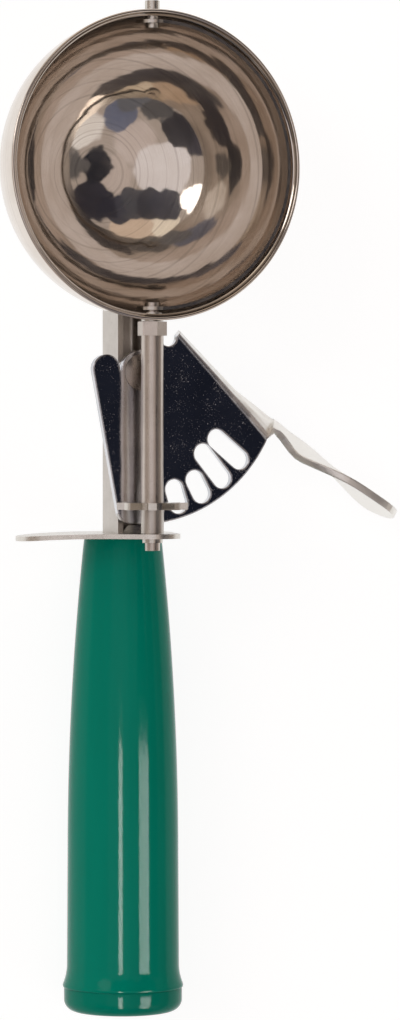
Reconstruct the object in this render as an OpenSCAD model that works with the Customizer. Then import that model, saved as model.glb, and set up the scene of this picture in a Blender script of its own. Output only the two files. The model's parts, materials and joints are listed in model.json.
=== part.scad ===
/* [Bowl] */
// Inside diameter of the bowl
bowl_d = 63.5; // [58:0.5:70]
// Thickness of the bowl's sheet
bowl_t = 0.8; // [0.7:0.05:1]
// Height of the rim above the drive shaft's axis
rim_h = 3.3; // [3.2:0.1:4.5]
// How far the rim flares outwards
rim_flare = 0.5; // [0.3:0.05:0.9]

/* [Scraper] */
// Width of the scraper blade's band
blade_w = 3.4; // [2.8:0.1:4.5]
// Thickness of the scraper blade
blade_t = 0.7; // [0.5:0.05:0.9]
// Gap between the scraper blade and the bowl
blade_gap = 0.75; // [0.5:0.05:1]
// Diameter of the eye at each end of the blade
eye_d = 6.8; // [6:0.1:7.4]

/* [Drive shaft] */
// Diameter of the drive shaft
shaft_d = 4.8; // [4.4:0.1:5.2]
// Diameter of the journals at the shaft's two ends
journal_d = 3.3; // [3.1:0.1:3.6]
// Size of the six-sided collar below the bowl, across its flats
collar_af = 5.5; // [5:0.1:6]
// Height of the six-sided collar
collar_h = 3; // [2.5:0.1:4]

/* [Pinion] */
// Diameter of the pinion over its teeth
pinion_d = 15.2; // [15:0.05:15.4]
// Thickness of the pinion
pinion_t = 1.5; // [1.2:0.1:1.8]
// Width of a pinion tooth at its tip
tooth_tip = 1.6; // [1.2:0.1:1.8]
// Width of a pinion tooth at its root
tooth_root = 2.4; // [2:0.1:2.6]

/* [Lever] */
// Thickness of the lever's sheet
lever_t = 1.6; // [1.5:0.05:1.7]
// Distance from the shaft's axis back to the lever plate
lever_z = 5.8; // [5.75:0.05:6]
// Radius of the lever's toothed sector
sector_r = 32.6; // [32.2:0.1:33]
// Distance from the lever's pivot to the pinion
mesh_r = 28.6; // [28.3:0.1:29]
// Width of the slots that the pinion's teeth enter
slot_w = 4.3; // [4.2:0.05:4.4]
// Length of the lever from its pivot to the tip of the thumb pad
lever_len = 66.4; // [64:0.2:72]
// Angle between the lever and the handle at rest
lever_angle = 62.8; // [60:0.2:65]
// Width of the thumb pad
pad_w = 11.7; // [10:0.1:13]

/* [Frame] */
// Distance from the bowl's centre to the lever's pivot
pivot_y = 44; // [43.5:0.1:46]
// Width of the shank
shank_w = 9; // [8.8:0.1:10]
// Depth of the shank, front to back
shank_depth = 11.1; // [10.5:0.1:12]
// Thickness of the shank's sheet
shank_t = 1.2; // [1:0.05:1.4]
// Diameter of the rod that runs through the handle
tang_d = 6; // [5.5:0.1:6.2]
// Thickness of the finger guard
guard_t = 1; // [0.8:0.1:1.4]
// How far the guard reaches out on the fingers' side
guard_reach = 18; // [14:0.5:22]

/* [Handle] */
// Distance from the drive shaft's axis back to the handle's axis
handle_z = 17.1; // [16.8:0.1:18]
// Length of the grip
grip_len = 97.8; // [92:0.2:105]
// Diameter of the grip at the guard
grip_front_d = 16.8; // [16:0.1:18]
// Diameter of the grip at its thick end
grip_rear_d = 24.4; // [23:0.1:25.5]
// Diameter of the lip at the grip's end
grip_lip_d = 26.2; // [25.8:0.1:27]
// Diameter of the end cap
cap_d = 25.7; // [25:0.1:25.8]
// Visible length of the end cap
cap_len = 5.2; // [4.5:0.1:6.5]

/* [Return spring] */
// Wire diameter of the return spring
wire_d = 0.8; // [0.6:0.05:0.8]
// Number of turns in the return spring
spring_turns = 4; // [2:1:4]

/* [Lying down] */
// Roll towards the lever at which the scoop balances on a table
rest_roll = 13.6; // [12:0.1:20]

/* [Hidden] */
$fn = 96;
steel = [0.75, 0.73, 0.70];
satin = [0.62, 0.59, 0.55];
dark_steel = [0.42, 0.42, 0.46];
green = [0.0, 0.42, 0.34];
cut = 1;
running_gap = 0.05;
end_play = 0.1;

// Bowl
bowl_in = bowl_d / 2;
bowl_out = bowl_in + bowl_t;
// The sheet runs on as part of the sphere until it is past the shaft's hole
lip_from = shaft_d / 2 + 0.15;
rim_out = bowl_out + rim_flare;

// Scraper
blade_out = bowl_in - blade_gap;
blade_in = blade_out - blade_t;
blade_low = -0.2;
blade_play = 0.1;
journal_top_d = journal_d - 0.6;
pin_head_h = 1.1;
pin_head_d = journal_top_d + 0.6;
far_pin_d = 2.2;
far_head_d = 3;
far_nub_d = 3.2;
far_nub_h = 2.45;

// Stations along the shaft, as distances below the bowl's centre
bush_top = bowl_in - 0.4;
bush_base = rim_out + 0.1;
collar_top = bush_base + end_play;
collar_base = collar_top + collar_h;
collar_turn = 2.6;
pinion_mid = pivot_y + mesh_r;
pinion_top = pinion_mid - pinion_t / 2;
pinion_base = pinion_mid + pinion_t / 2;
guard_top = pivot_y + sector_r + 1.9;
guard_base = guard_top + guard_t;
sleeve_d = 4.95;
sleeve_base = guard_top - end_play;
ring_d = 4.5;
ring_h = 0.8;
ring_top = guard_base + end_play;
shaft_end = ring_top + ring_h + 1.7;

// Pinion and slots
teeth = 8;
// The tooth before the first one is left out, because the plate has no slot there
missing_teeth = 1;
root_r = 4.4;
tooth_turn = 360 / teeth;
pitch_r = pinion_d / 2 - 0.45;
slot_pitch = tooth_turn * pitch_r / mesh_r;
phase_share = 0.48;
slot_phase = phase_share * slot_pitch;
tooth_angle = phase_share * tooth_turn;
slots = 5;
short_slots = 3;
slot_far = mesh_r + 3;
short_slot_len = 7.5;
long_slot_len = 11.2;
tip_d = pinion_d;

// Lever plate, measured from its pivot
plate_mid = -lever_z - lever_t / 2;
plate_back = lever_z + lever_t;
edge_off = 11;
edge_tilt = 10.6;
lobe_r = 3.1;
lobe_up = 2.2;
corner_r = 3;
hub_r = 4.8;
shoulder = [3.4, 5.6];
fold_top = [8.1, 7.7];
fold_angle = 46.9;
fold_overlap = 0.2;
strip_t = lever_t - 0.04;
notch_centre = [6.1, 7.6];
notch_r = 1.95;
lug_at = [5, -12];
lug_r = 1;
lug_h = 0.8;

// Pivot
pivot_pin_d = 4;
post_d = 4.4;
pivot_washer_d = 9.6;
pivot_washer_h = 1;
rivet_head_d = 7.9;
rivet_head_h = 0.7;
peen_d = 7;
peen_h = 1.2;
shank_front = plate_back + end_play + pivot_washer_h;
shank_back = shank_front + shank_depth;
shank_corner = 2.5;
shank_in = shank_w / 2 - shank_t;
strap_t = 1.2;
strap_reach = 10;

// Return spring
coil_r = post_d / 2 + 0.15 + wire_d / 2;
coil_pitch = wire_d + 0.1;
coil_front = shank_front + wire_d / 2 + 0.1;
ring_steps = 20;

// Handle
grip_front = guard_base;
grip_end = grip_front + grip_len;
flare_len = 5;
tang_hole_d = tang_d + 0.1;
foot_h = 1.6;
counterbore_d = 14;
counterbore_h = 10;
nut_floor = grip_end - counterbore_h;
washer_d = 12;
washer_h = 1.6;
nut_af = 10;
nut_h = 5;
tang_end = nut_floor + washer_h + nut_h + 0.6;
plug_gap = 0.05;
plug_len = 2.3;
cap_end = grip_end + cap_len;
cap_round = 2.6;

// Guard
guard_nose_r = 6;
guard_hub_r = 10.5;
guard_wing_r = 7.4;
guard_wing_up = 3;
guard_bend_r = 200;
guard_droop = guard_reach / 3;

// ---- Vectors ----
function unit(v) = v / norm(v);
function smooth(t) = let (c = min(max(t, 0), 1)) c * c * (3 - 2 * c);
function blend(a, b, t) = a + (b - a) * t;

// ---- Thumb lever: a lip folded back from the plate that runs out into the pad ----
// Direction of the lever from its pivot, and the direction across it, away from the handle
lever_dir = [sin(lever_angle), -cos(lever_angle)];
lever_up = [cos(lever_angle), sin(lever_angle)];
fold_dir = [cos(fold_angle), -sin(fold_angle)];
fold_out = [sin(fold_angle), cos(fold_angle)];
fold_along = fold_top * fold_dir;
fold_len = -fold_along + sqrt(fold_along * fold_along - fold_top * fold_top + sector_r * sector_r);
fold_end = fold_top + fold_len * fold_dir;

// The lip's reach and depth at its two ends, and how far its edge leans out at the lever's end
lip_reach = [1.2, 2.9];
lip_drop = [2, 3.2];
lip_lean = 2.1;
lean_from = 0.6;

// Distances along the lever at which the strip changes shape
notch_s = sector_r + 0.8;
edge_fall_span = [0.8, 8];
widen_span = [1.6, 18.6];
unroll_span = [-10, 4];
far_low_span = [5, 18];
far_fall_ends = [3, -2.6];
dip_len = 15;
pad_dip = 0.9;
edge_fall = [notch_s, notch_s] + edge_fall_span;
edge_rise_h = 3;
widen = [notch_s, notch_s] + widen_span;
unroll = [notch_s, notch_s] + unroll_span;
far_fall = [notch_s, lever_len] + far_fall_ends;
dip = [lever_len - dip_len, lever_len];
far_rise_h = 5.2;
far_sag = 0.6;
far_low = [notch_s, notch_s] + far_low_span;
pad_centre_z = -4.45;
pad_r = pad_w / 2;
tip_s = lever_len - pad_r;
far_z = pad_centre_z - pad_r;

// One cross-section is [near edge, middle control point, far edge]
function on_lever(s, up, z) = let (p = s * lever_dir + up * lever_up) [p.x, p.y, z];
function lip_section(q) =
    let (near = fold_top + q * fold_len * fold_dir,
         turn = ramp(q, [lean_from, 1]),
         side = unit(blend(fold_out, lever_up, turn)),
         reach = blend(lip_reach[0], lip_reach[1], q),
         drop = blend(lip_drop[0], lip_drop[1], q),
         out = near + reach * side,
         far = out + lip_lean * turn * side,
         start = [near.x, near.y, plate_mid],
         end = [far.x, far.y, plate_mid - drop])
    [start, blend([out.x, out.y, plate_mid], (start + end) / 2, ramp(near * lever_dir, unroll)), end];
function ramp(s, span) = smooth((s - span[0]) / (span[1] - span[0]));
function arm_section(s) =
    let (near_up = edge_rise_h * (1 - ramp(s, edge_fall)) - pad_dip * ramp(s, dip),
         far_up = far_rise_h * (1 - ramp(s, far_fall)) - far_sag * ramp(s, [notch_s, far_low[0]])
             * (1 - ramp(s, far_low)) - pad_dip * ramp(s, dip),
         tip = max(s - tip_s, 0),
         half = sqrt(pad_r * pad_r - tip * tip),
         near_z = blend(plate_mid, pad_centre_z + half, ramp(s, widen)),
         low_z = blend(plate_mid - lip_drop[1], far_z + pad_r - half, ramp(s, widen)),
         near = on_lever(s, near_up, near_z),
         far = on_lever(s, far_up, low_z),
         corner = on_lever(s, far_up, near_z))
    [near, blend(corner, (near + far) / 2, ramp(s, unroll)), far];

lip_steps = 5;
arm_steps = 20;
tip_steps = 6;
tip_sweep = 80;
sections = concat(
    [for (i = [0:lip_steps]) lip_section(i / lip_steps)],
    [for (i = [0:arm_steps]) arm_section(blend(notch_s, tip_s, i / arm_steps))],
    [for (i = [1:tip_steps]) arm_section(tip_s + pad_r * sin(tip_sweep * i / tip_steps))]
);
across = 4;

function bezier(c, v) = (1 - v) * (1 - v) * c[0] + 2 * v * (1 - v) * c[1] + v * v * c[2];
function bezier_slope(c, v) = (1 - v) * (c[1] - c[0]) + v * (c[2] - c[1]);
function strip_mid(i, v) = bezier(sections[i], v);
function strip_normal(i, v) =
    let (last = len(sections) - 1,
         along = strip_mid(min(i + 1, last), v) - strip_mid(max(i - 1, 0), v))
    unit(cross(bezier_slope(sections[i], v), along));
function strip_layer(side) = [
    for (i = [0:len(sections) - 1], j = [0:across])
        strip_mid(i, j / across) + side * strip_t / 2 * strip_normal(i, j / across)
];
strip_points = concat(strip_layer(-1), strip_layer(1));

// ---- How the scoop lies: balanced on the bowl's back and the grip's lip, unless its thumb pad touches ----
function to_design(p) = [p.x, p.y - pivot_y, p.z];
pad_points = [for (p = strip_points) to_design(p)];
function lowest(points, up) =
    let (heights = [for (p = points) p * up], low = min(heights))
    [for (i = [0:len(points) - 1]) if (heights[i] == low) points[i]][0];
lip_centre = [0, -grip_end, -handle_z];
function lip_contact(up) = lip_centre - grip_lip_d / 2 * unit([up.x, 0, up.z]);
function settled(up, side, n) =
    n == 0 ? up
    : let (c = -bowl_out * up, a = lip_contact(up) - c,
           b = is_undef(side) ? lowest(pad_points, up) - c : side)
      settled(unit(cross(a, b)), side, n - 1);
start_up = [-sin(rest_roll), 0, cos(rest_roll)];
balanced_up = settled(start_up, [cos(rest_roll), 0, sin(rest_roll)], 12);
pad_height = lowest(pad_points, balanced_up) * balanced_up + bowl_out;
table_up = pad_height > 0 ? balanced_up : settled(start_up, undef, 12);
row_y = unit([0, 1, 0] - table_up.y * table_up);
row_x = cross(row_y, table_up);
row_max_x = max([for (p = pad_points) p * row_x]);
row_max_y = (bowl_out + far_nub_h) * row_y.y;
row_min_y = lip_centre * row_y - cap_len;
row_origin = [(row_max_x - bowl_out) / 2, (row_max_y + row_min_y) / 2, -bowl_out];

module in_row() {
    translate(-row_origin)
    multmatrix([
        [row_x.x, row_x.y, row_x.z, 0],
        [row_y.x, row_y.y, row_y.z, 0],
        [table_up.x, table_up.y, table_up.z, 0],
        [0, 0, 0, 1]
    ])
    children();
}

// ---- Building blocks in the design frame: shaft along Y, bowl opening up Z ----
// A shape drawn in X and Z, extruded from one distance below the bowl's centre to another
module slab(from, to) {
    translate([0, -from, 0]) rotate([90, 0, 0]) linear_extrude(to - from) children();
}

module rod(d, from, to) {
    slab(from, to) circle(d = d);
}

module tube(d, bore, from, to) {
    slab(from, to) difference() {
        circle(d = d);
        circle(d = bore);
    }
}

// A regular hexagon with a flat towards X
module six_sided(af) {
    intersection_for(a = [0, 60, 120]) rotate(a) square([af, 2 * af], center = true);
}

module at_pivot() {
    translate([0, -pivot_y, 0]) children();
}

// A round bar along Z, between two distances behind the shaft's axis
module post(d, front, back) {
    translate([0, 0, -back]) cylinder(d = d, h = back - front);
}

// ---- Bowl ----
module bowl_profile() {
    difference() {
        circle(r = bowl_out);
        circle(r = bowl_in);
        translate([-2 * bowl_out, -2 * bowl_out]) square([2 * bowl_out, 4 * bowl_out]);
        translate([-cut, lip_from]) square([2 * bowl_out, 2 * bowl_out]);
    }
    polygon([
        [sqrt(bowl_in * bowl_in - lip_from * lip_from), lip_from],
        [sqrt(bowl_out * bowl_out - lip_from * lip_from), lip_from],
        [rim_out, rim_h - bowl_t / 2], [rim_out - bowl_t, rim_h - bowl_t / 2]
    ]);
    translate([rim_out - bowl_t / 2, rim_h - bowl_t / 2]) circle(d = bowl_t);
}

module bowl() {
    color(steel) in_row() difference() {
        rotate_extrude($fn = 192) bowl_profile();
        rod(shaft_d, 0, bowl_out + 2 * cut);
        rod(far_pin_d, -bowl_out - 2 * cut, 0);
    }
}

module upper_bush() {
    color(satin) in_row() tube(shaft_d, journal_top_d + 2 * running_gap, bush_top, bush_base);
}

module far_pivot_rivet() {
    color(steel) in_row() {
        rod(far_pin_d, -bowl_out - far_nub_h, -blade_in + pin_head_h);
        rod(far_head_d, -blade_in + end_play, -blade_in + pin_head_h);
        difference() {
            rod(far_nub_d, -bowl_out - far_nub_h, -bowl_out + bowl_t);
            sphere(r = bowl_out);
        }
    }
}

module far_washer() {
    color(steel) in_row() tube(far_head_d, far_pin_d, -bowl_in + end_play, -blade_out - blade_play);
}

module scraper_blade() {
    color(steel) in_row() difference() {
        intersection() {
            difference() {
                sphere(r = blade_out, $fn = 192);
                sphere(r = blade_in, $fn = 192);
            }
            union() {
                translate([0, -bowl_d, blade_low]) cube([bowl_d, 2 * bowl_d, blade_w]);
                rod(eye_d, -bowl_d, bowl_d);
            }
        }
        rod(journal_top_d, 0, bowl_d);
        rod(far_pin_d + 2 * running_gap, -bowl_d, 0);
    }
}

// ---- Shaft ----
module drive_shaft() {
    color(satin) in_row() {
        rod(pin_head_d, blade_in - pin_head_h, blade_in);
        rod(journal_top_d, blade_in - pin_head_h, collar_base);
        rod(shaft_d, collar_base, pinion_top);
        rod(journal_d, pinion_top, shaft_end);
    }
}

module drive_collar() {
    color(satin) in_row() slab(collar_top, collar_base) difference() {
        rotate(collar_turn) six_sided(collar_af);
        circle(d = journal_top_d);
    }
}

module tooth() {
    inner = 0.8 * root_r;
    polygon([
        [-tooth_root / 2, -inner], [-tooth_root / 2, -root_r], [-tooth_tip / 2, -tip_d / 2 - cut],
        [tooth_tip / 2, -tip_d / 2 - cut], [tooth_root / 2, -root_r], [tooth_root / 2, -inner]
    ]);
}

module pinion() {
    color(steel) in_row() slab(pinion_top, pinion_base) difference() {
        intersection() {
            union() {
                circle(r = root_r);
                for (i = [0:teeth - 1 - missing_teeth]) rotate(tooth_angle + i * tooth_turn) tooth();
            }
            circle(d = tip_d);
        }
        circle(d = journal_d);
    }
}

module spacer_sleeve() {
    color(satin) in_row() tube(sleeve_d, journal_d, pinion_base, sleeve_base);
}

module retaining_ring() {
    color(steel) in_row() tube(ring_d, journal_d, ring_top, ring_top + ring_h);
}

// ---- Frame ----
// A box section whose two back corners are rounded
module shank_profile(w, front, back, corner) {
    translate([-w / 2, -back + corner]) square([w, back - front - corner]);
    translate([-w / 2 + corner, -back]) square([w - 2 * corner, back - front]);
    for (side = [-1, 1]) translate([side * (w / 2 - corner), -back + corner]) circle(r = corner);
}

// A channel that opens to the front
module shank() {
    color(satin) in_row() difference() {
        slab(bowl_in / 2, guard_top) difference() {
            shank_profile(shank_w, shank_front, shank_back, shank_corner);
            shank_profile(2 * shank_in, shank_front - cut, shank_back - shank_t, shank_corner - shank_t);
        }
        sphere(r = bowl_out + 0.02, $fn = 192);
        at_pivot() post(post_d, shank_front - cut, shank_back + cut);
    }
}

// The shank's back sheet, carried on over the back of the bowl
module bowl_strap() {
    color(satin) in_row() difference() {
        intersection() {
            sphere(r = bowl_out + strap_t, $fn = 192);
            translate([-shank_w / 2, -2 * bowl_out, -2 * bowl_out])
                cube([shank_w, 2 * bowl_out - strap_reach, 2 * bowl_out - shank_back]);
        }
        sphere(r = bowl_out, $fn = 192);
    }
}

module guard_outline() {
    hull() {
        circle(r = guard_nose_r);
        translate([0, -handle_z]) circle(r = guard_hub_r);
        translate([-guard_reach, -handle_z + guard_wing_up]) circle(r = guard_wing_r);
    }
}

// The guard's sheet seen from the front: flat, then drooping towards the fingers
module guard_bend() {
    bend_from = grip_front_d / 2 + 0.6;
    bend_r = guard_bend_r;
    translate([-bend_from, -guard_base]) square([3 * handle_z, guard_t]);
    intersection() {
        translate([-bend_from, -guard_top - bend_r]) difference() {
            circle(r = bend_r, $fn = 720);
            circle(r = bend_r - guard_t, $fn = 720);
        }
        translate([-bend_from - 2 * guard_reach, -guard_top - bend_r]) square([2 * guard_reach, 2 * bend_r]);
    }
}

module finger_guard() {
    color(satin) in_row() difference() {
        intersection() {
            slab(guard_top - cut, guard_base + guard_droop) guard_outline();
            translate([0, 0, -2 * handle_z]) linear_extrude(4 * handle_z) guard_bend();
        }
        rod(journal_d + 2 * running_gap, guard_top - cut, guard_base + cut);
        translate([0, 0, -handle_z]) rod(tang_hole_d, guard_top - cut, guard_base + cut);
    }
}

// The tang's flared foot, brazed inside the end of the shank
module tang_foot() {
    top_w = 3.6;
    color(steel) in_row() translate([0, 0, -shank_back + shank_corner])
        linear_extrude(shank_depth - shank_corner - 1) polygon([
            [-shank_in, -guard_top], [shank_in, -guard_top],
            [top_w / 2, -guard_top + foot_h], [-top_w / 2, -guard_top + foot_h]
        ]);
}

module tang_rod() {
    color(steel) in_row() translate([0, 0, -handle_z]) rod(tang_d, guard_top, tang_end);
}

module tang_washer() {
    color(steel) in_row() translate([0, 0, -handle_z]) tube(washer_d, tang_d, nut_floor, nut_floor + washer_h);
}

module tang_nut() {
    color(steel) in_row() translate([0, 0, -handle_z])
        slab(nut_floor + washer_h, nut_floor + washer_h + nut_h) difference() {
            six_sided(nut_af);
            circle(d = tang_d);
        }
}

// ---- Lever ----
module sector_outline() {
    inner_r = sector_r - corner_r;
    corner_x = -edge_off + corner_r;
    corner_y = -sqrt(inner_r * inner_r - corner_x * corner_x);
    fold_edge = fold_overlap * fold_out;
    intersection() {
        circle(r = sector_r, $fn = 192);
        union() {
            rotate(edge_tilt) {
                polygon([
                    [0, 0], [-edge_off + lobe_r, lobe_up], [-edge_off, lobe_up], [-edge_off, corner_y],
                    [corner_x, corner_y], [corner_x, corner_y] * sector_r / inner_r, [0, -1.2 * sector_r]
                ]);
                translate([-edge_off + lobe_r, lobe_up]) circle(r = lobe_r);
                translate([corner_x, corner_y]) circle(r = corner_r);
            }
            polygon([
                [0, 0], [0, hub_r], shoulder, fold_top + fold_edge, fold_end + fold_edge,
                1.2 * sector_r * lever_dir, 1.2 * sector_r * [sin(30), -cos(30)], [0, -1.2 * sector_r]
            ]);
            circle(r = hub_r);
        }
    }
}

module slot_outline(angle, near, far) {
    rotate(angle) {
        translate([-slot_w / 2, -far + slot_w / 2]) square([slot_w, far - near - slot_w]);
        translate([0, -far + slot_w / 2]) circle(d = slot_w);
        translate([0, -near - slot_w / 2]) circle(d = slot_w);
    }
}

module lever_plate() {
    translate([0, 0, -lever_z - lever_t]) linear_extrude(lever_t) difference() {
        sector_outline();
        circle(d = pivot_pin_d + 2 * running_gap);
        translate(notch_centre) circle(r = notch_r);
        for (i = [0:slots - 1])
            slot_outline(slot_phase + i * slot_pitch,
                         slot_far - (i < short_slots ? short_slot_len : long_slot_len), slot_far);
    }
    translate([lug_at.x, lug_at.y, -lever_z - lever_t - lug_h]) cylinder(r = lug_r, h = lug_h + lever_t / 2);
}

module thumb_strip() {
    row = across + 1;
    last = len(sections) - 1;
    under = len(sections) * row;
    function quad(a, b, c, d) = [[a, b, c], [a, c, d]];
    faces = [
        for (i = [0:last - 1], j = [0:across - 1])
            let (p = i * row + j)
            each concat(quad(p, p + 1, p + row + 1, p + row),
                        quad(under + p, under + p + row, under + p + row + 1, under + p + 1)),
        for (i = [0:last - 1])
            let (p = i * row, f = i * row + across)
            each concat(quad(p, p + row, under + p + row, under + p),
                        quad(f, under + f, under + f + row, f + row)),
        for (j = [0:across - 1])
            let (e = last * row + j)
            each concat(quad(j, under + j, under + j + 1, j + 1),
                        quad(e, e + 1, under + e + 1, under + e))
    ];
    polyhedron(points = strip_points, faces = faces, convexity = 6);
}

module lever() {
    color(dark_steel) in_row() at_pivot() {
        lever_plate();
        thumb_strip();
    }
}

module pivot_post() {
    dome_r = 12;
    head_back = lever_z - end_play;
    head_front = head_back - rivet_head_h;
    color(satin) in_row() at_pivot() {
        post(pivot_pin_d, head_back - rivet_head_h / 2, shank_front);
        post(post_d, plate_back + end_play, shank_back + peen_h / 2);
        post(peen_d, shank_back, shank_back + peen_h);
        intersection() {
            post(rivet_head_d, head_front, head_back);
            translate([0, 0, -head_front - dome_r]) sphere(r = dome_r, $fn = 128);
        }
    }
}

module pivot_washer() {
    color(satin) in_row() at_pivot() difference() {
        post(pivot_washer_d, plate_back + end_play, shank_front);
        post(post_d, plate_back, shank_front + cut);
    }
}

// ---- Return spring: a torsion coil round the post, one leg on the shank and one on the lever's lug ----
coil_depth = coil_pitch * spring_turns;
leg_z = -plate_back - lug_h + wire_d / 2 + 0.1;
leg_x = lug_at.x - lug_r - wire_d / 2 - 0.1;
spring_path = concat(
    [[-coil_r, -12, -coil_front - coil_depth], [-coil_r, -4, -coil_front - coil_depth]],
    [for (i = [0:ring_steps * (spring_turns + 0.5)])
        let (a = 180 + 360 * i / ring_steps)
        [coil_r * cos(a), coil_r * sin(a),
         -coil_front - coil_depth + coil_depth * i / (ring_steps * (spring_turns + 0.5))]],
    [[coil_r, 4, -coil_front]]
);
module return_spring() {
    color(steel) in_row() at_pivot() sweep(spring_path, wire_d / 2, 8);
}

module sweep(path, r, sides) {
    last = len(path) - 1;
    function heading(i) = unit(path[min(i + 1, last)] - path[max(i - 1, 0)]);
    function level(v, t) = unit(v - (v * t) * t);
    frames = [
        for (i = 0, v = level([1, 0.2, 0.1], heading(0)); i <= last; i = i + 1, v = level(v, heading(min(i, last)))) v
    ];
    points = [
        for (i = [0:last], k = [0:sides - 1])
            let (a = 360 * k / sides, n = frames[i])
            path[i] + r * (cos(a) * n + sin(a) * cross(heading(i), n))
    ];
    faces = concat(
        [for (i = [0:last - 1], k = [0:sides - 1])
            let (m = (k + 1) % sides, p = i * sides)
            each [[p + k, p + m, p + sides + m], [p + k, p + sides + m, p + sides + k]]],
        [[for (k = [sides - 1:-1:0]) k]],
        [[for (k = [0:sides - 1]) last * sides + k]]
    );
    polyhedron(points = points, faces = faces, convexity = 10);
}

// ---- Handle ----
grip_steps = 24;
belly_at = 0.7;
module grip_profile() {
    rise = (grip_rear_d - 0.3 - grip_front_d) / 2;
    flare = (grip_lip_d - grip_rear_d) / 2;
    belly_len = belly_at * grip_len;
    polygon(concat(
        [[0, grip_front]],
        [for (i = [0:grip_steps])
            let (t = i / grip_steps)
            [grip_front_d / 2 + rise * (1 - (1 - t) * (1 - t)), grip_front + belly_len * t]],
        [for (i = [0:8])
            let (t = i / 8)
            [grip_rear_d / 2 + flare * t * t, grip_end - flare_len * (1 - t) - 0.6 * t]],
        [[grip_lip_d / 2, grip_end], [0, grip_end]]
    ));
}

module grip() {
    color(green) in_row() translate([0, 0, -handle_z]) difference() {
        rotate([90, 0, 0]) rotate_extrude($fn = 144) grip_profile();
        rod(tang_hole_d, grip_front - cut, grip_end + cut);
        rod(counterbore_d, nut_floor, grip_end + cut);
    }
}

module end_cap() {
    plug_d = counterbore_d - 2 * plug_gap;
    color(green) in_row() translate([0, 0, -handle_z]) rotate([90, 0, 0]) rotate_extrude($fn = 144) {
        translate([0, grip_end - plug_len]) square([plug_d / 2, plug_len + cut]);
        translate([0, grip_end]) square([cap_d / 2, cap_len - cap_round]);
        translate([0, grip_end]) square([cap_d / 2 - cap_round, cap_len]);
        translate([cap_d / 2 - cap_round, cap_end - cap_round]) circle(r = cap_round);
    }
}

bowl();
upper_bush();
far_pivot_rivet();
far_washer();
scraper_blade();
drive_shaft();
drive_collar();
pinion();
spacer_sleeve();
retaining_ring();
shank();
bowl_strap();
finger_guard();
tang_foot();
tang_rod();
tang_washer();
tang_nut();
lever();
pivot_post();
pivot_washer();
return_spring();
grip();
end_cap();
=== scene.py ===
import bpy
import bmesh
import json
import math
from mathutils import Matrix, Vector


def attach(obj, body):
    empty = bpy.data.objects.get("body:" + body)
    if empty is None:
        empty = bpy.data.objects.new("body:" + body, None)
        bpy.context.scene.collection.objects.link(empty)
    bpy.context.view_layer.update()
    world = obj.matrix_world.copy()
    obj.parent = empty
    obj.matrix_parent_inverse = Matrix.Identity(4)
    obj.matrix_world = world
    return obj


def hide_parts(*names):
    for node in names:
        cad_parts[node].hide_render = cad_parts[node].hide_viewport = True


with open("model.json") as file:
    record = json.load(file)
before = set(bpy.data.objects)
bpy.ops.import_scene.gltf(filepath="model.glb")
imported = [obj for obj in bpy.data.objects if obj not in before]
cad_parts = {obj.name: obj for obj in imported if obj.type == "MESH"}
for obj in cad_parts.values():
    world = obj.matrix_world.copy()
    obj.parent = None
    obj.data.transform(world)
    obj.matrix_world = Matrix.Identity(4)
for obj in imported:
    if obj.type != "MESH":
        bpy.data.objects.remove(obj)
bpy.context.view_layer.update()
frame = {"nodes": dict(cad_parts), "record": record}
nodes = frame["nodes"]
scene = bpy.context.scene

# ---------------------------------------------------------------- design frame
# Millimetres from the bowl's centre: the shaft lies along y, the bowl opens up z, the lever is at +x
MM = 0.001
PIVOT_Y = 44.0  # from the lever's pivot up to the bowl's centre
HANDLE_Z = -17.1  # the grip's axis, behind the shaft's
PLATE_Z = -6.0  # where the lever's texture is laid out, near its plate

joints = {j["name"]: j for j in frame["record"]["behaviour"]["joints"]}
Y_AX = Vector(joints["scraper_sweep"]["axis"]).normalized()
Z_AX = -Vector(joints["lever_squeeze"]["axis"]).normalized()
X_AX = Y_AX.cross(Z_AX).normalized()
ROT = Matrix((X_AX, Y_AX, Z_AX)).transposed().to_4x4()
CENTRE = Vector(joints["scraper_sweep"]["pos_m"]) + PIVOT_Y * MM * Y_AX
TO_ROW = Matrix.Translation(CENTRE) @ ROT @ Matrix.Scale(MM, 4)

# The camera looks down the bowl's opening, turned about the shaft and tipped a little
CAMERA_TURN, CAMERA_TIP = math.radians(-22.5951), math.radians(-1.18567)
VIEW = ROT.to_3x3() @ Matrix.Rotation(CAMERA_TURN, 3, "Y") @ Matrix.Rotation(CAMERA_TIP, 3, "X")


def in_view(right, up, back):
    """A place in metres, measured along the camera's own directions from the bowl's centre."""
    return CENTRE + VIEW @ Vector((right, up, back))


# ---------------------------------------------------------------- mesh helpers
def new_mesh(name, verts, faces, sharp):
    """A smooth piece from points in the design frame, with an edge kept sharp above an angle in degrees."""
    me = bpy.data.meshes.new(name)
    me.from_pydata([TO_ROW @ Vector(v) for v in verts], [], faces)
    me.validate()
    bm = bmesh.new()
    bm.from_mesh(me)
    bmesh.ops.recalc_face_normals(bm, faces=bm.faces)
    bm.to_mesh(me)
    bm.free()
    shade_smooth(me, sharp)
    ob = bpy.data.objects.new(name, me)
    scene.collection.objects.link(ob)
    return ob


def shade_smooth(mesh, sharp):
    for face in mesh.polygons:
        face.use_smooth = True
    mesh.set_sharp_from_angle(angle=math.radians(sharp))


def turned_point(radius, height, angle, along, base):
    across, side = radius * math.cos(angle), radius * math.sin(angle)
    offset = (across, height, side) if along == "y" else (across, side, height)
    return tuple(b + o for b, o in zip(base, offset))


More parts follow.
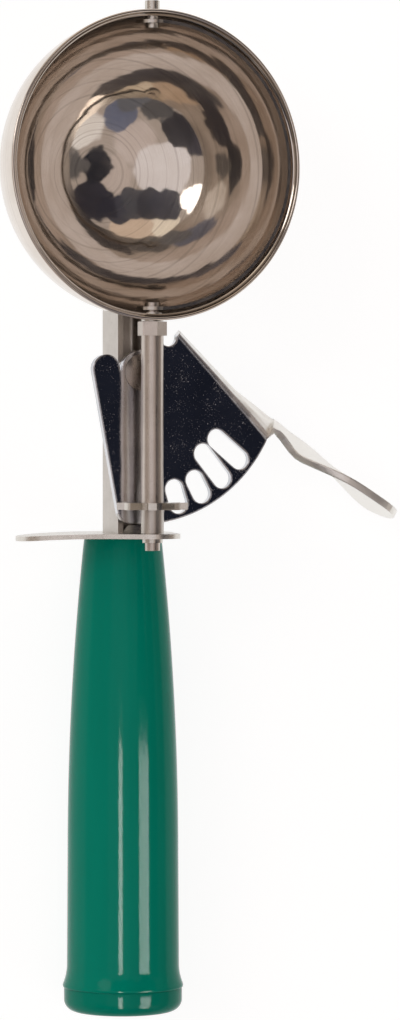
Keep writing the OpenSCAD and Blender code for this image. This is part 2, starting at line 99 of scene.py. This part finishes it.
def lathe(name, profile, along, base, steps, sharp):
    """Turns (radius, height) points about the y or z axis through base. A point on the axis ends it."""
    verts, rings, faces = [], [], []
    for radius, height in profile:
        count = steps if radius > 0 else 1
        rings.append(range(len(verts), len(verts) + count))
        angles = [2 * math.pi * k / steps for k in range(count)]
        verts += [turned_point(radius, height, a, along, base) for a in angles]
    for a, b in zip(rings, rings[1:]):
        for k in range(steps):
            corners = (a[k % len(a)], b[k % len(b)], b[(k + 1) % len(b)], a[(k + 1) % len(a)])
            faces.append(list(dict.fromkeys(corners)))
    return new_mesh(name, verts, faces, sharp)


def shares(n):
    """0 to 1 in n equal steps."""
    return [i / n for i in range(n + 1)]


def arc(cx, cy, radius, start, end, n):
    """Points on a circle from one angle to another, in degrees."""
    angles = [math.radians(start + (end - start) * t) for t in shares(n)]
    return [(cx + radius * math.cos(a), cy + radius * math.sin(a)) for a in angles]


# ---------------------------------------------------------------- materials
class Tree:
    """A node tree, written briefly."""

    def __init__(self, tree):
        self.tree = tree
        self.tree.nodes.clear()

    def add(self, kind, props=None, **inputs):
        """A new node. An input is its name with _ for each space, or the letter i and its number."""
        node = self.tree.nodes.new(kind)
        for key, value in (props or {}).items():
            setattr(node, key, value)
        for key, value in inputs.items():
            self.put(node, key.replace("_", " "), value)
        return node

    def put(self, node, name, value):
        """Links a socket or a node's first output to an input, or sets the input to a value."""
        numbered = name[0] == "i" and name[1:].isdigit()
        socket = node.inputs[int(name[1:])] if numbered else node.inputs[name]
        if isinstance(value, bpy.types.Node):
            value = value.outputs[0]
        if isinstance(value, bpy.types.NodeSocket):
            self.tree.links.new(value, socket)
        elif socket.type == "RGBA":
            socket.default_value = (*value, 1.0)
        else:
            socket.default_value = value

    def calc(self, operation, a, b):
        return self.add("ShaderNodeMath", {"operation": operation}, i0=a, i1=b).outputs[0]

    def mix(self, share, a, b):
        """Colour a where share is 0, and b where it is 1."""
        return self.add("ShaderNodeMix", {"data_type": "RGBA"}, i0=share, i6=a, i7=b).outputs[2]

    def ramp(self, value, low, high, a=0.0, b=1.0, shape="LINEAR"):
        """From a at low to b at high, and level beyond."""
        return self.add("ShaderNodeMapRange", {"clamp": True, "interpolation_type": shape}, Value=value,
                        From_Min=low, From_Max=high, To_Min=a, To_Max=b).outputs[0]

    def noise(self, place, scale, detail, rough):
        return self.add("ShaderNodeTexNoise", None, Vector=place, Scale=scale, Detail=detail,
                        Roughness=rough).outputs[0]

    def dot(self, place, direction):
        return self.add("ShaderNodeVectorMath", {"operation": "DOT_PRODUCT"}, i0=place,
                        i1=direction).outputs["Value"]


class Material(Tree):
    """A material with one Principled shader."""

    def __init__(self, name):
        self.mat = bpy.data.materials.new(name)
        self.mat.use_nodes = True
        super().__init__(self.mat.node_tree)
        self.out = self.add("ShaderNodeOutputMaterial")
        self.bsdf = self.add("ShaderNodeBsdfPrincipled")
        self.put(self.out, "Surface", self.bsdf)

    def coords(self, origin=(0, 0, 0)):
        """Position in the design frame, in millimetres from origin."""
        place = self.add("ShaderNodeTexCoord").outputs["Object"]
        loc, rot, scale = (TO_ROW @ Matrix.Translation(Vector(origin))).inverted().decompose()
        return self.add("ShaderNodeMapping", {"vector_type": "POINT"}, Vector=place, Location=loc,
                        Rotation=rot.to_euler(), Scale=scale).outputs[0]

    def stretch(self, place, scale):
        return self.add("ShaderNodeVectorMath", {"operation": "MULTIPLY"}, i0=place, i1=scale).outputs[0]

    def polar(self, place):
        """The radius about z, and (radius, angle, height) as a vector."""
        s = self.add("ShaderNodeSeparateXYZ", None, Vector=place).outputs
        square = self.calc("ADD", self.calc("POWER", s["X"], 2.0), self.calc("POWER", s["Y"], 2.0))
        radius = self.calc("SQRT", square, 0.0)
        angle = self.calc("ARCTAN2", s["Y"], s["X"])
        return radius, self.add("ShaderNodeCombineXYZ", None, X=radius, Y=angle, Z=s["Z"]).outputs[0]

    def bump(self, height, distance, strength, normal=None):
        """Relief of a height up to distance metres, over another normal where one is given."""
        node = self.add("ShaderNodeBump", None, Height=height, Distance=distance, Strength=strength)
        if normal is not None:
            self.put(node, "Normal", normal)
        return node.outputs[0]


def darker(colour, share):
    return tuple(share * c for c in colour)


def polished(name, base, dark, rough):
    """Spun and polished steel: fine lines round z, faint smears, a few thin dark turning lines."""
    n = Material(name)
    v = n.coords()
    _, spun = n.polar(v)
    lines = n.noise(n.stretch(spun, (6.0, 0.6, 6.0)), 1.0, 4.0, 0.7)
    smear = n.noise(v, 0.09, 4.0, 0.6)
    spots = n.noise(v, 1.6, 2.0, 0.5)
    rings = n.noise(n.stretch(spun, (0.55, 0.0, 0.55)), 1.0, 0.0, 0.5)
    turning = n.noise(n.stretch(spun, (0.8, 0.0, 0.8)), 1.0, 2.0, 0.6)
    colour = n.mix(n.ramp(smear, 0.35, 0.7), base, dark)
    turned = n.calc("MULTIPLY", n.ramp(turning, 0.56, 0.60), 0.35)
    fine = n.ramp(lines, 0.3, 0.8, rough * 0.7, rough * 1.3)
    bent = n.bump(lines, 0.000003, 0.4, n.bump(rings, 0.00007, 0.35, n.bump(smear, 0.00003, 0.3)))
    n.put(n.bsdf, "Base Color", n.mix(turned, colour, darker(dark, 0.55)))
    n.put(n.bsdf, "Metallic", 1.0)
    n.put(n.bsdf, "Roughness", n.calc("ADD", fine, n.ramp(spots, 0.6, 0.75, 0.0, rough * 0.5)))
    n.put(n.bsdf, "Normal", bent)
    # fine scratches left by polishing spread a part of the light
    haze = n.add("ShaderNodeBsdfPrincipled", None, Base_Color=colour, Metallic=1.0, Roughness=0.32,
                 Normal=bent)
    spread = n.ramp(lines, 0.35, 0.75, 0.06, 0.26)
    n.put(n.out, "Surface", n.add("ShaderNodeMixShader", None, i0=spread, i1=n.bsdf, i2=haze))
    return n.mat


def mirror_plate(name):
    """Pressed sheet, mirror-polished with specks and scratches, and ground to satin on its thumb arm."""
    plate_r, fold_far, fold_dir = 32.7, 11.5, (0.730, 0.683, 0.0)  # the arm starts outside these
    n = Material(name)
    v = n.coords((0, -PIVOT_Y, PLATE_Z))
    radius, _ = n.polar(v)
    wave = n.noise(v, 0.10, 2.0, 0.5)
    cloud = n.noise(v, 0.16, 5.0, 0.65)
    speck = n.noise(v, 3.4, 3.0, 0.7)
    scratch = n.noise(n.stretch(v, (0.35, 3.2, 1.0)), 1.0, 4.0, 0.6)
    past_rim = n.ramp(radius, plate_r, plate_r + 1.8)
    past_fold = n.ramp(n.dot(v, fold_dir), fold_far, fold_far + 1.7)
    ground = n.calc("MAXIMUM", past_rim, past_fold)
    colour = n.mix(n.ramp(wave, 0.35, 0.7), (0.72, 0.72, 0.74), (0.52, 0.53, 0.57))
    colour = n.mix(n.ramp(speck, 0.66, 0.74), colour, (0.85, 0.86, 0.90))
    dirt = n.ramp(n.calc("ADD", speck, n.calc("MULTIPLY", cloud, 0.35)), 0.82, 0.90, 0.0, 0.6)
    dull = n.calc("ADD", dirt, n.ramp(cloud, 0.60, 0.8, 0.0, 0.10))
    shine = n.calc("ADD", n.ramp(scratch, 0.4, 0.8, 0.05, 0.14), dull)
    rounded = n.add("ShaderNodeBevel", {"samples": 6}, Radius=0.55 * MM)
    n.put(n.bsdf, "Base Color", n.mix(ground, colour, (0.90, 0.88, 0.84)))
    n.put(n.bsdf, "Metallic", 1.0)
    n.put(n.bsdf, "Roughness", n.calc("ADD", shine, n.calc("MULTIPLY", ground, 0.30)))
    n.put(n.bsdf, "Normal", n.bump(speck, 0.00002, 0.3, n.bump(wave, 0.0003, 0.3, rounded)))
    return n.mat


def satin(name, base, dark, rough, brush=(3.0, 0.12, 3.0)):
    """Satin steel: brushed lines, along y if brush isn't given, with darker smudges and fine pits."""
    n = Material(name)
    v = n.coords()
    lines = n.noise(n.stretch(v, brush), 1.0, 5.0, 0.7)
    smudge = n.noise(v, 0.22, 4.0, 0.6)
    pits = n.noise(v, 2.6, 2.0, 0.6)
    colour = n.mix(n.ramp(smudge, 0.4, 0.75, 0.0, 0.4), base, dark)
    n.put(n.bsdf, "Base Color", n.mix(n.ramp(pits, 0.66, 0.76, 0.0, 0.5), colour, darker(dark, 0.5)))
    n.put(n.bsdf, "Metallic", 1.0)
    n.put(n.bsdf, "Roughness", n.ramp(lines, 0.25, 0.8, rough * 0.75, rough * 1.35))
    n.put(n.bsdf, "Normal", n.bump(lines, 0.00002, 0.35, n.bump(pits, 0.00003, 0.3)))
    return n.mat


def plastic(name, base, deep):
    """Glossy moulded plastic: faint flow, a little orange peel, hairline scratches along it."""
    n = Material(name)
    v = n.coords((0, 0, HANDLE_Z))
    flow = n.noise(n.stretch(v, (1.0, 0.15, 1.0)), 0.08, 3.0, 0.5)
    peel = n.noise(v, 0.5, 2.0, 0.5)
    hair = n.noise(n.stretch(v, (5.0, 0.5, 5.0)), 1.0, 3.0, 0.7)
    n.put(n.bsdf, "Base Color", n.mix(n.ramp(flow, 0.35, 0.7), base, deep))
    n.put(n.bsdf, "Specular IOR Level", 0.08)
    n.put(n.bsdf, "Roughness", n.ramp(hair, 0.5, 0.85, 0.07, 0.20))
    n.put(n.bsdf, "Normal", n.bump(peel, 0.00003, 0.25))
    return n.mat


ALONG_SHAFT, ALONG_BLADE = (4.0, 0.15, 4.0), (0.4, 0.4, 6.0)
TURNED, ALONG_GUARD = (0.5, 4.0, 0.5), (0.5, 3.0, 3.0)
LOOKS = {
    "bowl": polished("bowl_steel", (0.76, 0.70, 0.64), (0.67, 0.60, 0.53), 0.05),
    "blade": satin("blade_steel", (0.62, 0.58, 0.53), (0.45, 0.41, 0.36), 0.22, ALONG_BLADE),
    "mirror": mirror_plate("mirror_steel"),
    "satin": satin("satin_steel", (0.58, 0.54, 0.50), (0.40, 0.36, 0.32), 0.32),
    "shaft": satin("shaft_steel", (0.60, 0.54, 0.49), (0.42, 0.37, 0.33), 0.30, ALONG_SHAFT),
    "rivet": satin("rivet_steel", (0.34, 0.30, 0.27), (0.20, 0.18, 0.16), 0.26),
    "machined": satin("machined_steel", (0.66, 0.63, 0.58), (0.45, 0.42, 0.38), 0.22, TURNED),
    "guard": satin("guard_steel", (0.74, 0.71, 0.66), (0.40, 0.37, 0.33), 0.28, ALONG_GUARD),
    "wire": satin("spring_wire", (0.42, 0.40, 0.38), (0.25, 0.23, 0.21), 0.3),
    "zinc": satin("plated_steel", (0.62, 0.62, 0.60), (0.45, 0.45, 0.43), 0.35),
    "green": plastic("green_plastic", (0.0, 0.345, 0.245), (0.0, 0.300, 0.212)),
    "cap": plastic("cap_plastic", (0.0, 0.310, 0.218), (0.0, 0.270, 0.190)),
}

# Which look each node has
DRESS = {
    "bowl": "bowl", "upper_bush": "machined", "far_pivot_rivet": "machined", "far_washer": "machined",
    "scraper_blade": "blade", "drive_shaft": "shaft", "drive_collar": "shaft", "pinion": "machined",
    "spacer_sleeve": "satin", "retaining_ring": "machined", "shank": "satin", "bowl_strap": "satin",
    "finger_guard": "guard", "tang_foot": "machined", "tang_rod": "zinc", "tang_washer": "zinc",
    "tang_nut": "zinc", "lever": "mirror", "pivot_post": "rivet", "pivot_washer": "machined",
    "return_spring": "wire", "grip": "green", "end_cap": "cap",
}

# How wide the sharp edges of a node are broken, in millimetres, so that they catch the light
EDGES = {
    "lever": 0.4, "shank": 0.3, "finger_guard": 0.25, "drive_collar": 0.2, "pinion": 0.15,
    "spacer_sleeve": 0.15, "scraper_blade": 0.1, "bowl_strap": 0.2, "tang_nut": 0.3,
}


def dress(ob, look):
    ob.data.materials.clear()
    ob.data.materials.append(LOOKS[look])


def soften(ob, width):
    m = ob.modifiers.new("edges", "BEVEL")
    m.width = width * MM
    m.segments = 2
    m.limit_method = "ANGLE"
    m.angle_limit = math.radians(50)


for name, node in nodes.items():
    dress(node, DRESS[name])
    shade_smooth(node.data, sharp=30)
for name, width in EDGES.items():
    soften(nodes[name], width)

# ---------------------------------------------------------------- bowl
R_IN, R_OUT = 31.75, 32.55
RIM_H, FLARE, BEAD_R = 3.3, 0.5, 0.4
HOLE_TOP = 2.55  # the round part goes on up to here, just over the shaft's hole


def round_part(radius):
    top = math.degrees(math.asin(HOLE_TOP / radius))
    return arc(0, 0, radius, -90, top, 84)


lip = arc(R_IN + FLARE + BEAD_R, RIM_H - BEAD_R, BEAD_R, 0, 180, 10)
inner_wall = round_part(R_IN)[:0:-1]
bowl_outline = [(0, -R_OUT)] + round_part(R_OUT)[1:] + lip + inner_wall + [(0, -R_IN)]
bowl = lathe("bowl_shell", bowl_outline, "z", (0, 0, 0), steps=256, sharp=60)
dress(bowl, "bowl")
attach(bowl, "frame")
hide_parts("bowl")

# ---------------------------------------------------------------- grip
# Heights run down from the bowl's centre, so they are negative
GRIP_TOP, GRIP_END = -79.5, -177.3
NECK_R, BODY_R, FLARE_R, LIP_R = 8.4, 12.05, 12.2, 13.1
BORE_R, SOCKET_R, SOCKET_DEEP = 3.05, 7.0, 10.0
BELLY = 0.7 * (GRIP_TOP - GRIP_END)  # the length over which the grip swells
FLARE_LEN, LIP_EDGE = 5.0, 0.6

corner = [(NECK_R - 0.4, GRIP_TOP), (NECK_R - 0.15, GRIP_TOP - 0.05), (NECK_R, GRIP_TOP - 0.3)]
swell = [(NECK_R + (BODY_R - NECK_R) * (1 - (1 - t) ** 2), GRIP_TOP - BELLY * t) for t in shares(40)[1:]]
flare = [(FLARE_R + (LIP_R - FLARE_R) * t * t, GRIP_END + FLARE_LEN * (1 - t) + LIP_EDGE * t)
         for t in shares(12)]
edge = [(LIP_R, GRIP_END + 0.25), (LIP_R - 0.1, GRIP_END + 0.05), (LIP_R - 0.3, GRIP_END)]
socket = [(SOCKET_R, GRIP_END), (SOCKET_R, GRIP_END + SOCKET_DEEP), (BORE_R, GRIP_END + SOCKET_DEEP)]
grip_outline = [(BORE_R, GRIP_TOP)] + corner + swell + flare + edge + socket + [(BORE_R, GRIP_TOP)]
grip = lathe("grip_body", grip_outline, "y", (0, 0, HANDLE_Z), steps=160, sharp=50)
dress(grip, "green")
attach(grip, "frame")
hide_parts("grip")

# ---------------------------------------------------------------- end cap
CAP_END = GRIP_END - 5.2
CAP_R, CAP_ROUND = 12.85, 2.6
PLUG_R, PLUG_LEN = 6.95, 2.3

plug = [(0, GRIP_END + PLUG_LEN), (PLUG_R, GRIP_END + PLUG_LEN), (PLUG_R, GRIP_END)]
seam = [(CAP_R - 0.25, GRIP_END), (CAP_R - 0.05, GRIP_END - 0.05), (CAP_R, GRIP_END - 0.25)]
heel = arc(CAP_R - CAP_ROUND, CAP_END + CAP_ROUND, CAP_ROUND, 0, -90, 16)
cap = lathe("end_cap_shell", plug + seam + heel + [(0, CAP_END)], "y", (0, 0, HANDLE_Z), steps=160, sharp=50)
dress(cap, "cap")
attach(cap, "frame")
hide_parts("end_cap")


# ---------------------------------------------------------------- floor
def floor_white(name, strength):
    """White floor that keeps shadows, glows for the camera, and is warm and darker far off in mirrors."""
    near, far, warm = 0.26, 0.85, (0.42, 0.37, 0.34)
    n = Material(name)
    ray = n.add("ShaderNodeLightPath").outputs
    mirrored = n.calc("MAXIMUM", ray["Is Glossy Ray"], ray["Is Transmission Ray"])
    glow = n.calc("MULTIPLY", n.calc("MAXIMUM", ray["Is Camera Ray"], mirrored), 0.7)
    place = n.add("ShaderNodeNewGeometry").outputs["Position"]
    away = n.add("ShaderNodeVectorMath", {"operation": "LENGTH"}, i0=place).outputs["Value"]
    dim = n.calc("MULTIPLY", n.ramp(away, near, far), ray["Is Glossy Ray"])
    light = n.add("ShaderNodeEmission", None, Color=n.mix(dim, (1, 1, 1), warm), Strength=strength)
    matt = n.add("ShaderNodeBsdfDiffuse", None, Color=(0.9, 0.9, 0.9))
    n.tree.nodes.remove(n.bsdf)
    n.put(n.out, "Surface", n.add("ShaderNodeMixShader", None, i0=glow, i1=matt, i2=light))
    return n.mat


bpy.ops.mesh.primitive_plane_add(size=6.0, location=(0, 0, -0.2 * MM))
floor = bpy.context.object
floor.name = "floor"
floor.data.materials.append(floor_white("floor_white", 1.27))

# ---------------------------------------------------------------- sky
# Polished steel looks like what it mirrors, so the studio round the scoop is laid out by direction: polar
# angle from the camera's back direction, azimuth from its right, size and half-edge, all in degrees, colour
PALE_PANELS = (
    (27, 300, 17, 3, (0.72, 0.62, 0.58)),
    (32, 5, 15, 2, (0.66, 0.56, 0.51)),
    (8, 186, 22, 1.5, (0.95, 0.89, 0.90)),
    (48, 75, 20, 1, (0.82, 0.64, 0.50)),
    (45, 100, 10, 1, (1.05, 0.92, 0.76)),
)
GEAR_ABOVE = (
    (42, 46, 12, 1, (0.06, 0.06, 0.08)),
    (30, 64, 12, 1, (0.085, 0.085, 0.10)),
    (27, 88, 12, 1, (0.05, 0.05, 0.065)),
    (28, 112, 11, 1, (0.06, 0.06, 0.08)),
    (50, 30, 15, 1, (0.03, 0.03, 0.045)),
    (60, 26, 13, 1, (0.035, 0.033, 0.045)),
)
DARK_FOR_PLATE = ((46, -5, 14, 1, (0.016, 0.018, 0.028)),)
LAMP = ((42, 148, 12, 1, (3.2, 3.0, 2.85)),)
GEAR_BELOW = (
    (47, 212, 13, 1, (0.06, 0.055, 0.07)),
    (39, 238, 13, 1, (0.045, 0.042, 0.05)),
    (50, 268, 12, 1, (0.12, 0.115, 0.12)),
    (52, 300, 13, 1, (0.17, 0.19, 0.28)),
    (62, 285, 12, 1, (0.16, 0.165, 0.19)),
    (74, 255, 10, 1, (0.09, 0.08, 0.08)),
)
LOW_DOWN = (
    (66, -3, 12, 2, (0.14, 0.13, 0.13)),
    (66, 330, 15, 2, (1.0, 0.94, 0.90)),
    (72, 95, 14, 2, (0.62, 0.50, 0.38)),
)
WALLS, CEILING = (0.36, 0.30, 0.26), (0.54, 0.46, 0.41)

world = bpy.data.worlds.new("studio")
scene.world = world
world.use_nodes = True
w = Tree(world.node_tree)
look_dir = w.add("ShaderNodeTexCoord").outputs["Generated"]
wobble = w.calc("MULTIPLY", w.calc("SUBTRACT", w.noise(look_dir, 3.5, 2.0, 0.5), 0.5), 0.07)


def toward(polar, azimuth):
    """The world direction at a polar angle from the camera's back direction, turned from its right."""
    t, a = math.radians(polar), math.radians(azimuth)
    return VIEW @ Vector((math.sin(t) * math.cos(a), math.sin(t) * math.sin(a), math.cos(t)))


def patch(under, polar, azimuth, size, half_edge, colour):
    """A round patch of the studio over what is there already, with a soft wavy edge."""
    closeness = w.calc("ADD", w.dot(look_dir, toward(polar, azimuth)), wobble)
    outside, inside = (math.cos(math.radians(size + k * half_edge)) for k in (1, -1))
    return w.mix(w.ramp(closeness, outside, inside, shape="SMOOTHSTEP"), under, colour)


overhead = w.dot(look_dir, toward(0, 0))
sky = w.mix(w.ramp(overhead, 0.02, 0.20, shape="SMOOTHSTEP"), WALLS, CEILING)
for row in PALE_PANELS + GEAR_ABOVE + DARK_FOR_PLATE + LAMP + GEAR_BELOW + LOW_DOWN:
    sky = patch(sky, *row)
w_out = w.add("ShaderNodeOutputWorld")
w.put(w_out, "Surface", w.add("ShaderNodeBackground", None, Color=sky, Strength=0.86))

# ---------------------------------------------------------------- lamps
LAMP_AWAY, LAMP_UP, LAMP_LONG = 1.3, -0.64, 0.98


def pale_band(name, angle, width, power):
    """A long lamp that only the grip and its cap mirror, turned about the handle from the camera's side."""
    a = math.radians(angle)
    data = bpy.data.lights.new(name, "AREA")
    data.shape = "RECTANGLE"
    data.size = width
    data.size_y = LAMP_LONG
    data.energy = power
    lamp = bpy.data.objects.new(name, data)
    scene.collection.objects.link(lamp)
    lamp.location = in_view(LAMP_AWAY * math.sin(a), LAMP_UP, LAMP_AWAY * math.cos(a))
    lamp.rotation_euler = (VIEW @ Matrix.Rotation(a, 3, "Y")).to_euler()
    lamp.visible_diffuse = False
    lit = bpy.data.collections.new(name + "_pieces")
    lit.objects.link(grip)
    lit.objects.link(cap)
    lamp.light_linking.receiver_collection = lit


pale_band("centre_strip", -4, 0.18, 18)
pale_band("right_strip", 46, 0.5, 38)

# ---------------------------------------------------------------- camera
PICTURE_H = 1020  # pixels
PIXEL = 0.213  # millimetres that a pixel covers at the bowl's centre
CAMERA_AWAY = 950.0  # millimetres from the bowl's centre

cam_data = bpy.data.cameras.new("camera")
cam = bpy.data.objects.new("camera", cam_data)
scene.collection.objects.link(cam)
cam_data.sensor_fit = "VERTICAL"
cam_data.sensor_height = 24.0
cam_data.lens = cam_data.sensor_height * CAMERA_AWAY / (PICTURE_H * PIXEL)
cam_data.clip_start = 0.01
cam.matrix_world = Matrix.Translation(in_view(0.01017, -0.0734, CAMERA_AWAY * MM)) @ VIEW.to_4x4()
scene.camera = cam
scene.view_settings.view_transform = "Standard"
